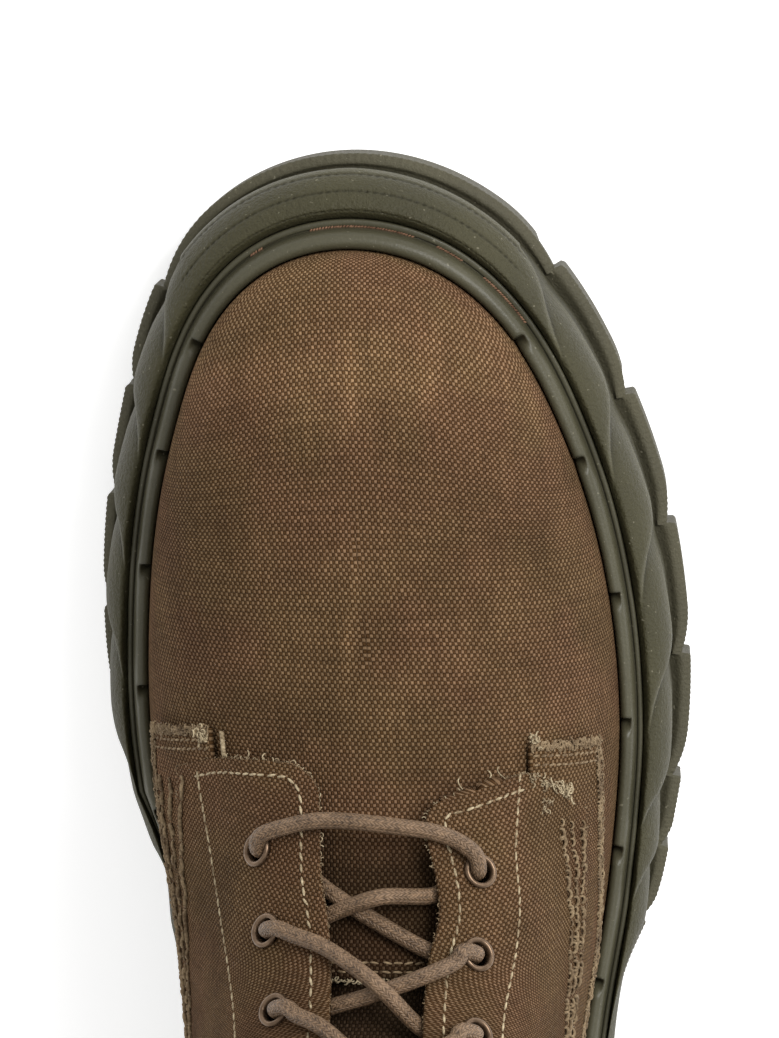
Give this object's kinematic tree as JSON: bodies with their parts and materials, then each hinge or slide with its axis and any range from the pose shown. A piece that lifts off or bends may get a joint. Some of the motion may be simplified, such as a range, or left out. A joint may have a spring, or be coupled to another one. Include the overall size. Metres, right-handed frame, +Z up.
{
  "type": "canvas boot",
  "caption": "Right ankle boot with a woven canvas upper, open derby quarters laced through painted metal eyelets, and a thick lugged rubber sole with a scaled sidewall, standing empty.",
  "frame": {"origin": "on the floor, under the middle of the boot's box", "axes": "+X to the outer side of the foot, +Y to the toe, +Z up"},
  "size_m": [0.1247, 0.3131, 0.2059],
  "materials": {
    "sole_rubber": "satin olive-grey moulded rubber with a fine pebble",
    "tread_rubber": "matt olive-grey moulded rubber",
    "canvas": "brown plain-weave canvas with raw frayed edges and pale stitching",
    "lining": "dull brown cloth",
    "eyelet_metal": "satin brown paint",
    "lace_cord": "waxed round braided cord"
  },
  "bodies": {
    "root": {"outsole": "tread_rubber", "midsole": "sole_rubber", "welt": "sole_rubber", "insole": "lining", "upper": "canvas", "tongue": "lining", "quarter_lateral": "canvas", "quarter_medial": "canvas", "stay_lateral": "canvas", "stay_medial": "canvas", "eyelet_lateral_1": "eyelet_metal", "eyelet_lateral_2": "eyelet_metal", "eyelet_lateral_3": "eyelet_metal", "eyelet_lateral_4": "eyelet_metal", "eyelet_lateral_5": "eyelet_metal", "eyelet_lateral_6": "eyelet_metal", "eyelet_lateral_7": "eyelet_metal", "eyelet_medial_1": "eyelet_metal", "eyelet_medial_2": "eyelet_metal", "eyelet_medial_3": "eyelet_metal", "eyelet_medial_4": "eyelet_metal", "eyelet_medial_5": "eyelet_metal", "eyelet_medial_6": "eyelet_metal", "eyelet_medial_7": "eyelet_metal", "lace_bar": "lace_cord", "lace_cross_1": "lace_cord", "lace_cross_2": "lace_cord", "lace_cross_3": "lace_cord", "lace_cross_4": "lace_cord", "lace_cross_5": "lace_cord", "lace_cross_6": "lace_cord"}
  },
  "joints": []
}
